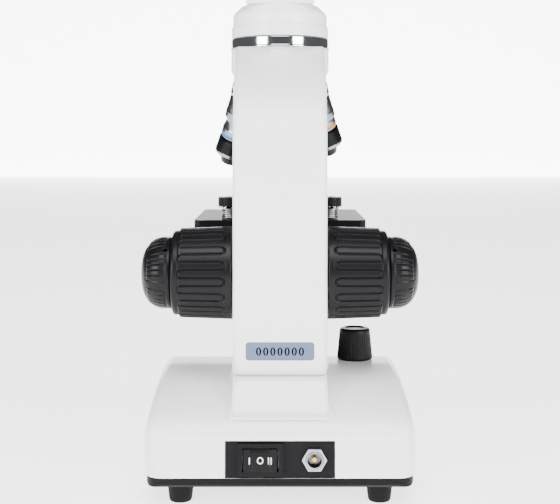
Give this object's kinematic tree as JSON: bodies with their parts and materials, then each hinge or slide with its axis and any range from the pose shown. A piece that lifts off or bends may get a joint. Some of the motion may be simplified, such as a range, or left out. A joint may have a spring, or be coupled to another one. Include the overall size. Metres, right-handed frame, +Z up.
{
  "type": "compound microscope",
  "caption": "Upright student compound microscope with a curved arm, tilted monocular head, turning nosepiece, coaxial focus knobs, clip stage and a lit base.",
  "frame": {"origin": "middle of the bounding box's bottom face, where the rubber feet stand", "axes": "+Z up, -Y front with the eyepiece and stage, +Y the power panel at the back, +X to the user's right, along the focus axis"},
  "size_m": [0.1346, 0.1777, 0.3307],
  "materials": {
    "white_enamel": "smooth satin white enamel",
    "black_paint": "satin black paint",
    "black_plastic": "fine-grained black plastic",
    "black_rubber": "matt rubber",
    "bright_chrome": "polished plating",
    "plain_steel": "bright steel",
    "brass": "machined brass",
    "clear_glass": "clear coated glass",
    "circuit_board": "green solder mask",
    "plate_blue": "pale blue plate"
  },
  "bodies": {
    "stand": {"base_shell": "white_enamel", "base_plate": "black_paint", "base_screws": "plain_steel", "rubber_feet": "black_rubber", "rear_panel": "black_plastic", "switch_frame": "black_plastic", "jack_barrel": "black_plastic", "jack_nut": "bright_chrome", "jack_pin": "brass", "dimmer_pot": "plain_steel", "driver_board": "circuit_board", "lamp_housing": "black_plastic", "lamp_board": "circuit_board", "field_lens": "clear_glass", "arm": "white_enamel", "arm_bolts": "plain_steel", "serial_plate": "plate_blue", "upper_lamp": "black_plastic", "upper_lamp_lens": "clear_glass", "focus_bushes": "brass", "guide_rails": "plain_steel", "nosepiece_base": "black_paint", "nosepiece_pivot": "plain_steel", "head_ring": "bright_chrome", "head_lock_screw": "plain_steel"},
    "switch_rocker": {"rocker": "black_plastic"},
    "dimmer": {"dimmer_shaft": "plain_steel", "dimmer_knob": "black_plastic"},
    "coarse_focus": {"coarse_shaft": "plain_steel", "focus_pinion": "brass", "coarse_knob_left": "black_plastic", "coarse_knob_right": "black_plastic"},
    "fine_focus": {"fine_shaft": "plain_steel", "fine_knob_left": "black_plastic", "fine_knob_right": "black_plastic", "knob_set_screws": "plain_steel"},
    "focus_carriage": {"carriage": "black_paint", "focus_rack": "brass"},
    "stage": {"stage_bracket": "black_paint", "stage_plate": "black_paint", "clip_posts": "black_plastic", "clip_springs": "plain_steel", "condenser_holder": "black_plastic", "condenser_lens": "clear_glass", "diaphragm_pivot": "plain_steel"},
    "left_clip": {"clip_left": "plain_steel"},
    "right_clip": {"clip_right": "plain_steel"},
    "diaphragm": {"diaphragm_disc": "black_plastic"},
    "nosepiece": {"nosepiece_disc": "bright_chrome", "objective_low": "bright_chrome", "objective_mid": "bright_chrome", "objective_high": "bright_chrome", "objective_lenses": "clear_glass"},
    "head": {"head_cup": "white_enamel", "prism_housing": "white_enamel", "prism": "clear_glass", "eyepiece_tube": "white_enamel"},
    "eyepiece": {"eyepiece_body": "black_plastic", "eyecup": "black_rubber", "eyepiece_lenses": "clear_glass"}
  },
  "joints": [
    {"name": "lamp_switch", "type": "hinge", "parent": "stand", "child": "switch_rocker", "pos_m": [0.009, 0.08678, 0.0232], "axis": [0, 0, 1], "range_deg": [-10, 10]},
    {"name": "dimmer_turn", "type": "hinge", "parent": "stand", "child": "dimmer", "pos_m": [-0.039, 0.01638, 0.06], "axis": [0, 0, 1], "range_deg": [0, 270]},
    {"name": "coarse_turn", "type": "hinge", "parent": "stand", "child": "coarse_focus", "pos_m": [0, 0.05188, 0.104], "axis": [1, 0, 0], "range_deg": [-140, 150]},
    {"name": "fine_turn", "type": "hinge", "parent": "stand", "child": "fine_focus", "pos_m": [0, 0.05188, 0.104], "axis": [1, 0, 0], "range_deg": [-180, 180]},
    {"name": "coarse_slide", "type": "slide", "parent": "stand", "child": "focus_carriage", "axis": [0, 0, 1], "range_m": [-0.01178, 0.01098]},
    {"name": "fine_slide", "type": "slide", "parent": "focus_carriage", "child": "stage", "axis": [0, 0, 1], "range_m": [-0.0005, 0.0005]},
    {"name": "left_clip_swing", "type": "hinge", "parent": "stage", "child": "left_clip", "pos_m": [-0.0265, 0.01538, 0.1336], "axis": [0, 0, 1], "range_deg": [-60, 15]},
    {"name": "right_clip_swing", "type": "hinge", "parent": "stage", "child": "right_clip", "pos_m": [0.0265, 0.01538, 0.1336], "axis": [0, 0, 1], "range_deg": [-15, 60]},
    {"name": "diaphragm_turn", "type": "hinge", "parent": "stage", "child": "diaphragm", "pos_m": [0, -0.02762, 0.1136], "axis": [0, 0, 1], "continuous": true},
    {"name": "nosepiece_turn", "type": "hinge", "parent": "stand", "child": "nosepiece", "pos_m": [0, -0.03365, 0.19073], "axis": [0, -0.2924, -0.9563], "continuous": true},
    {"name": "head_turn", "type": "hinge", "parent": "stand", "child": "head", "pos_m": [0, -0.01262, 0.2177], "axis": [0, 0, 1], "continuous": true},
    {"name": "eyepiece_pull", "type": "slide", "parent": "head", "child": "eyepiece", "axis": [0, -0.7071, 0.7071], "range_m": [0, 0.028]}
  ],
  "couplings": [
    {"joint": "coarse_turn", "follows": "coarse_slide", "rad_per_m": -222.22},
    {"joint": "fine_turn", "follows": "fine_slide", "rad_per_m": -6289.3}
  ]
}
